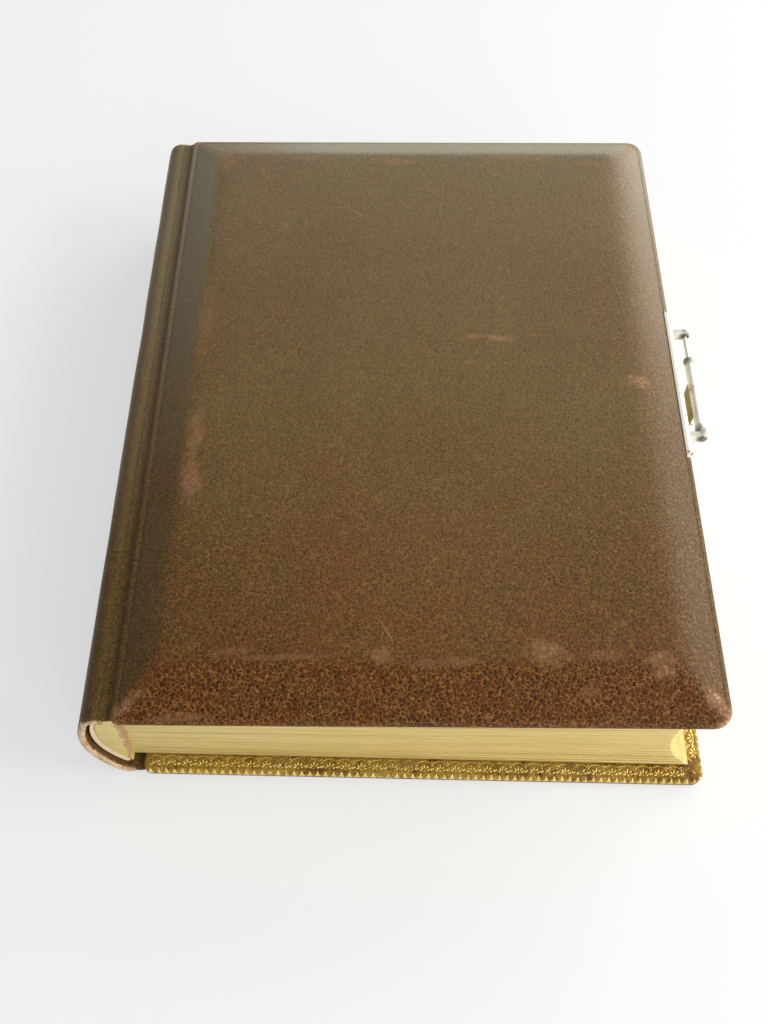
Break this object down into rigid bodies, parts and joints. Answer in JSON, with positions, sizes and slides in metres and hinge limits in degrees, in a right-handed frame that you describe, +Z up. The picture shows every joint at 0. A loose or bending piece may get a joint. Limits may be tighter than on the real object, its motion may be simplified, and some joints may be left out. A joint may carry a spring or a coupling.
{
  "type": "photo album",
  "caption": "Closed leather-bound photograph album lying flat: bevelled cover, gilt card leaves, rounded hollow spine and an undone nickel clasp on the fore-edge.",
  "frame": {"origin": "middle of the album's outline on the plane that the back cover lies on", "axes": "+X from the spine to the fore-edge, +Y from tail to head, +Z up out of the front cover"},
  "size_m": [0.2451, 0.304, 0.0721],
  "materials": {
    "leather": "worn grained brown leather",
    "gilt_leaves": "gilt card edges",
    "lining_paper": "plain aged paper",
    "liner_paper": "plain cream paper",
    "nickel": "worn nickel plate"
  },
  "bodies": {
    "back_board": {"back_cover": "leather", "back_pastedown": "lining_paper", "catch_plate": "nickel", "catch_rivets": "nickel"},
    "leaf_block": {"page_block": "gilt_leaves", "spine": "leather", "spine_liner": "liner_paper"},
    "front_board": {"front_cover": "leather", "front_pastedown": "lining_paper", "clasp_plate": "nickel", "clasp_rivets": "nickel", "clasp_pin": "nickel"},
    "hasp_body": {"hasp": "nickel"}
  },
  "joints": [
    {"name": "back_hinge", "type": "hinge", "parent": "back_board", "child": "leaf_block", "pos_m": [-0.10455, 0, 0.0038], "axis": [0, 1, 0], "range_deg": [-30, 0]},
    {"name": "front_hinge", "type": "hinge", "parent": "leaf_block", "child": "front_board", "pos_m": [-0.10995, 0, 0.0556], "axis": [0, -1, 0], "range_deg": [0, 175]},
    {"name": "hasp_hinge", "type": "hinge", "parent": "front_board", "child": "hasp_body", "pos_m": [0.11845, -0.0038, 0.06297], "axis": [0, -1, 0], "range_deg": [0, 180]}
  ]
}
